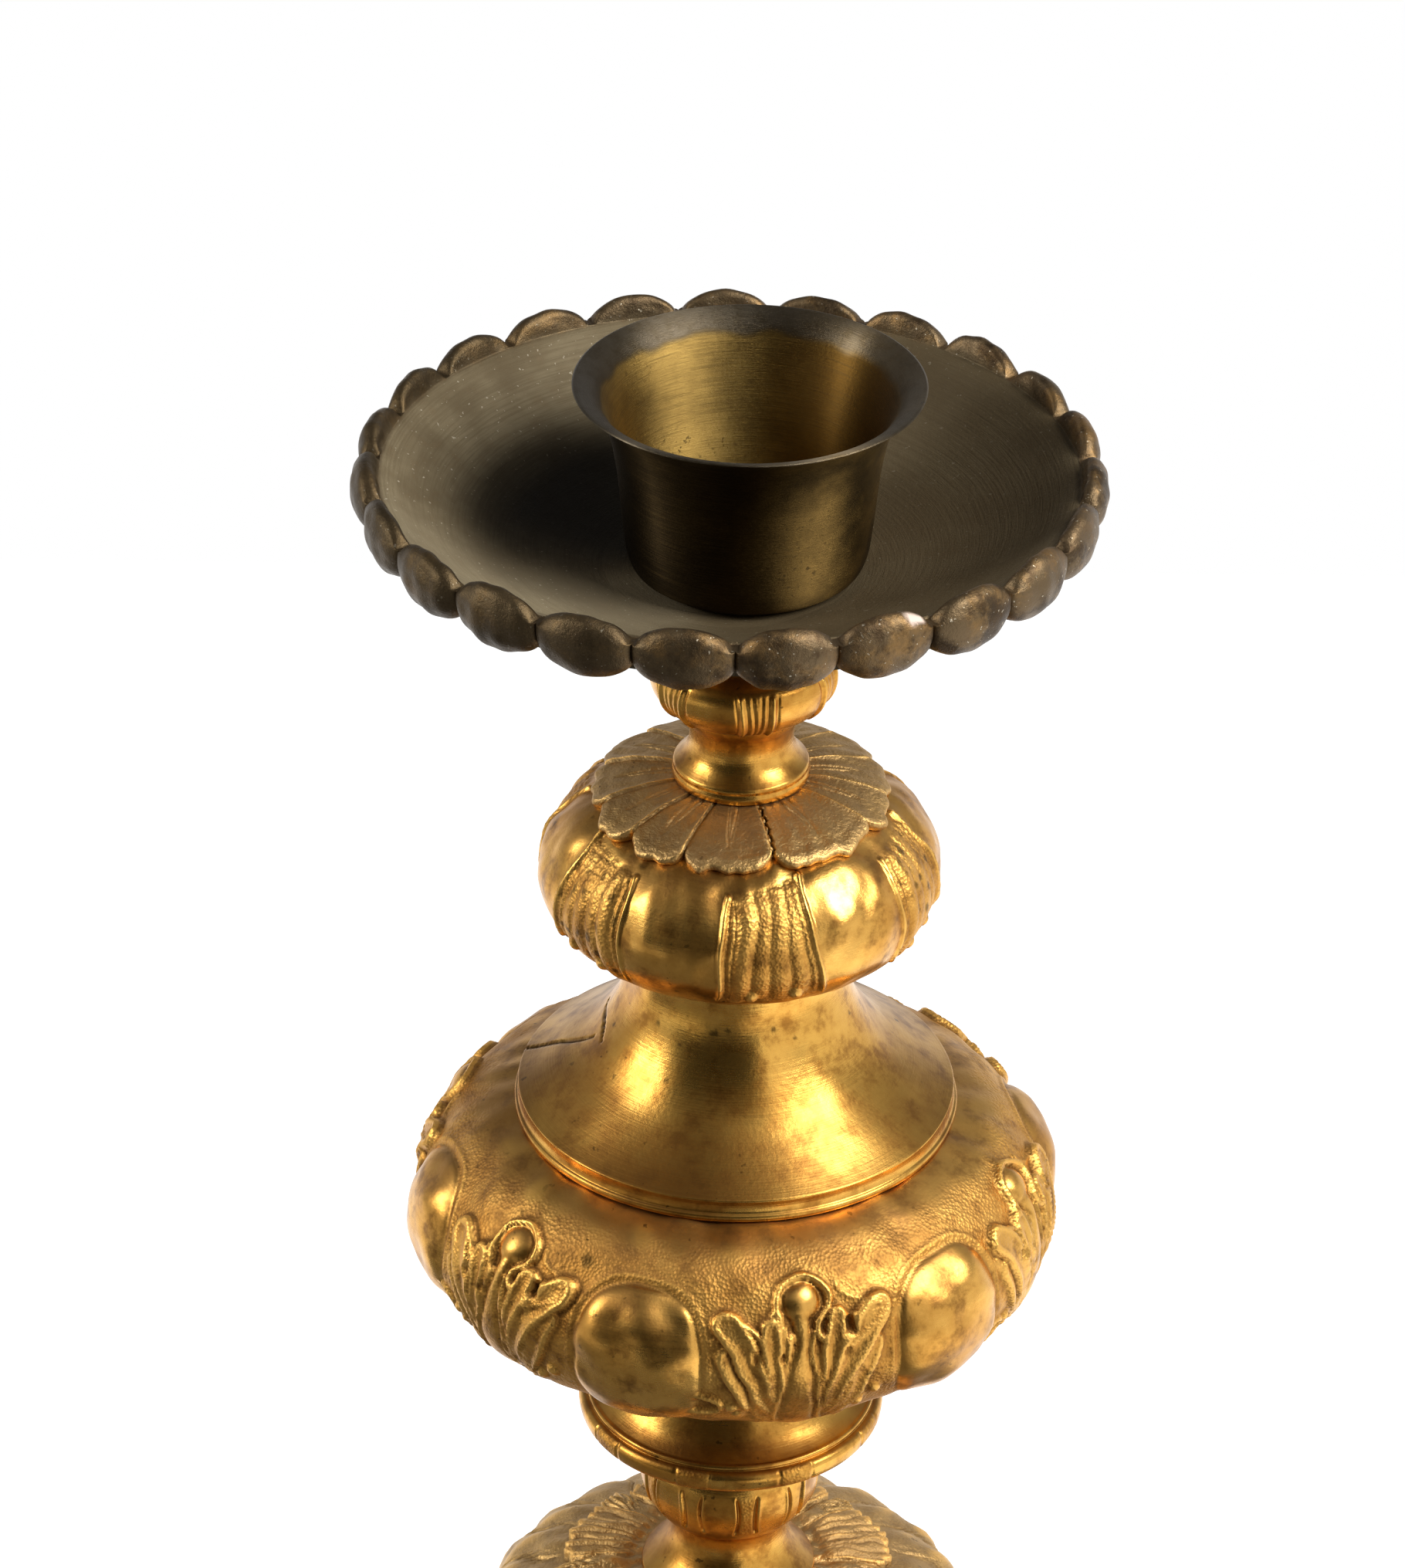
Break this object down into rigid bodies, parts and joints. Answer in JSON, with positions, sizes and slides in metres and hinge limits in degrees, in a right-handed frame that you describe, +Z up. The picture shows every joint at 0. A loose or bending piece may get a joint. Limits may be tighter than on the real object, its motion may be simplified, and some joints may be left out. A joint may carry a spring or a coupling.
{
  "type": "altar candlestick",
  "caption": "Tall round-based brass candlestick with stacked knops and trumpet necks on a tie rod, a loose scalloped drip pan and a lift-out candle cup.",
  "frame": {"origin": "centre of the footprint on the floor, under the stem's axis", "axes": "+Z up along the stem and tie rod, -Y towards the pictured front, +X to the right seen from the front"},
  "size_m": [0.224, 0.224, 0.5416],
  "materials": {
    "gilt_brass": "satin gilt, brown in the hollows",
    "aged_gilt": "cast and chased, dull brown gold with bright edges",
    "dark_bronze": "dark olive brown patina with turning marks",
    "worn_brass": "brushed brass, browned outside",
    "steel": "plain dark steel",
    "felt": "green felt"
  },
  "bodies": {
    "stand": {"top_nut": "steel", "capital": "gilt_brass", "neck_spool": "gilt_brass", "petal_collar": "aged_gilt", "upper_knop": "aged_gilt", "upper_sleeve": "steel", "trumpet_neck": "gilt_brass", "vase_knop": "gilt_brass", "vase_sleeve": "steel", "dish_collar": "gilt_brass", "small_knop": "gilt_brass", "lower_neck": "gilt_brass", "lower_knop": "aged_gilt", "lower_sleeve": "steel", "stem_ring": "gilt_brass", "base_trumpet": "gilt_brass", "base_sleeve": "steel", "base_dome": "gilt_brass", "base_rim": "gilt_brass", "bridge_plate": "steel", "tie_rod": "steel", "tie_washer": "steel", "tie_nut": "steel", "foot_1": "gilt_brass", "foot_2": "gilt_brass", "foot_3": "gilt_brass", "foot_screw_1": "steel", "foot_screw_2": "steel", "foot_screw_3": "steel", "foot_pad_1": "felt", "foot_pad_2": "felt", "foot_pad_3": "felt"},
    "pan": {"drip_pan": "dark_bronze"},
    "cup": {"candle_cup": "worn_brass"}
  },
  "joints": [
    {"name": "drip_pan_lift", "type": "slide", "parent": "stand", "child": "pan", "axis": [0, 0, 1], "range_m": [0, 0.06]},
    {"name": "candle_cup_lift", "type": "slide", "parent": "pan", "child": "cup", "axis": [0, 0, 1], "range_m": [0, 0.08]}
  ]
}
